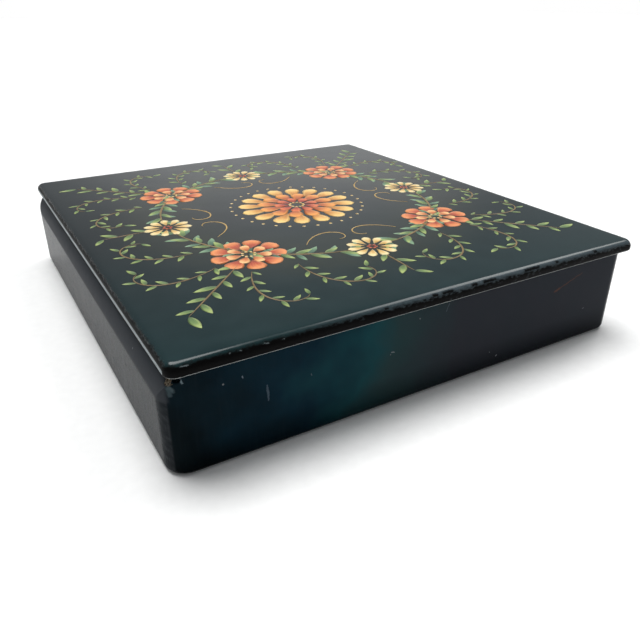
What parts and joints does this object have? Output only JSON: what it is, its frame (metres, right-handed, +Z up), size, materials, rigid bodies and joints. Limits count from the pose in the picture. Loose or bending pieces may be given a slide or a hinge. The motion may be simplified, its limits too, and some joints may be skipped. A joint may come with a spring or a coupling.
{
  "type": "lacquer box",
  "caption": "Flat, nearly square papier-mache box with a floor let into wound walls and a crowned lid on two small hinges along its rounded left wall.",
  "frame": {"origin": "middle of the whole footprint, on the surface that the box stands on", "axes": "+X to the right along the front wall and away from the hinges, +Y to the back, +Z up out of the lid"},
  "size_m": [0.2014, 0.219, 0.0422],
  "materials": {
    "black_lacquer": "gloss",
    "painted_lid_lacquer": "gloss",
    "red_lacquer": "gloss",
    "rim_lacquer": "gloss",
    "hinge_brass": "satin",
    "pin_brass": "satin"
  },
  "bodies": {
    "box": {"wall_ring": "black_lacquer", "bottom_board": "red_lacquer", "hinge_wall_leaf_front": "hinge_brass", "hinge_pin_front": "pin_brass", "hinge_wall_leaf_back": "hinge_brass", "hinge_pin_back": "pin_brass"},
    "lid": {"lid_board": "painted_lid_lacquer", "rim_strip_front": "rim_lacquer", "rim_strip_back": "rim_lacquer", "rim_strip_left": "rim_lacquer", "rim_strip_right": "rim_lacquer", "hinge_lid_leaf_front": "hinge_brass", "hinge_lid_leaf_back": "hinge_brass"}
  },
  "joints": [
    {"name": "lid_hinge", "type": "hinge", "parent": "box", "child": "lid", "pos_m": [-0.09725, 0, 0.0351], "axis": [0, -1, 0], "range_deg": [0, 105]}
  ]
}
